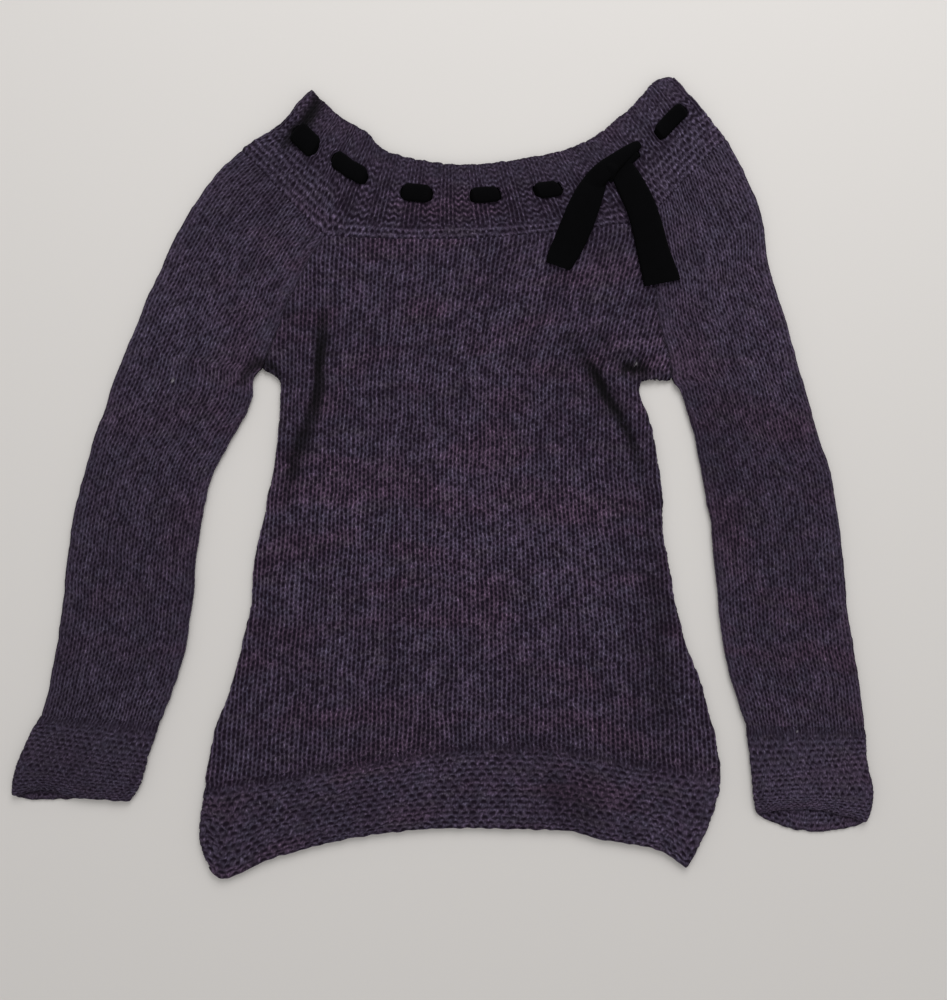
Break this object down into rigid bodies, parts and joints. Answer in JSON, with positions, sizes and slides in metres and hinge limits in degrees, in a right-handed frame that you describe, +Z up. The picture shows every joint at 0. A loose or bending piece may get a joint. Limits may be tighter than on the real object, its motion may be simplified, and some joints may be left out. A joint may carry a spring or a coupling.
{
  "type": "darned hand-knitted sweater, laid out flat",
  "caption": "Hand-knitted raglan sweater laid out flat, with an A-line body, long sleeves, garter-stitch hem and cuffs, and a wide ribbed neck threaded with a tied velvet ribbon.",
  "frame": {"origin": "bottom centre of the whole garment's box, on the surface it lies on", "axes": "+Z up through the two layers of cloth, +Y towards the neck, +X towards the wearer's left cuff"},
  "size_m": [0.733, 0.6768, 0.015],
  "materials": {
    "stocking_stitch": "brushed heather yarn in stocking stitch, matt and slightly hairy",
    "garter_stitch": "brushed heather yarn in garter stitch, matt and slightly hairy",
    "rib_stitch": "brushed heather yarn in wide rib, matt and slightly hairy",
    "velvet": "black cut-pile velvet"
  },
  "bodies": {
    "root": {"front": "stocking_stitch", "back": "stocking_stitch", "right_sleeve": "stocking_stitch", "left_sleeve": "stocking_stitch", "front_hem_band": "garter_stitch", "back_hem_band": "garter_stitch", "right_cuff": "garter_stitch", "left_cuff": "garter_stitch", "neckband": "rib_stitch", "ribbon": "velvet", "ribbon_knot": "velvet", "ribbon_tail_right": "velvet", "ribbon_tail_left": "velvet"}
  },
  "joints": []
}
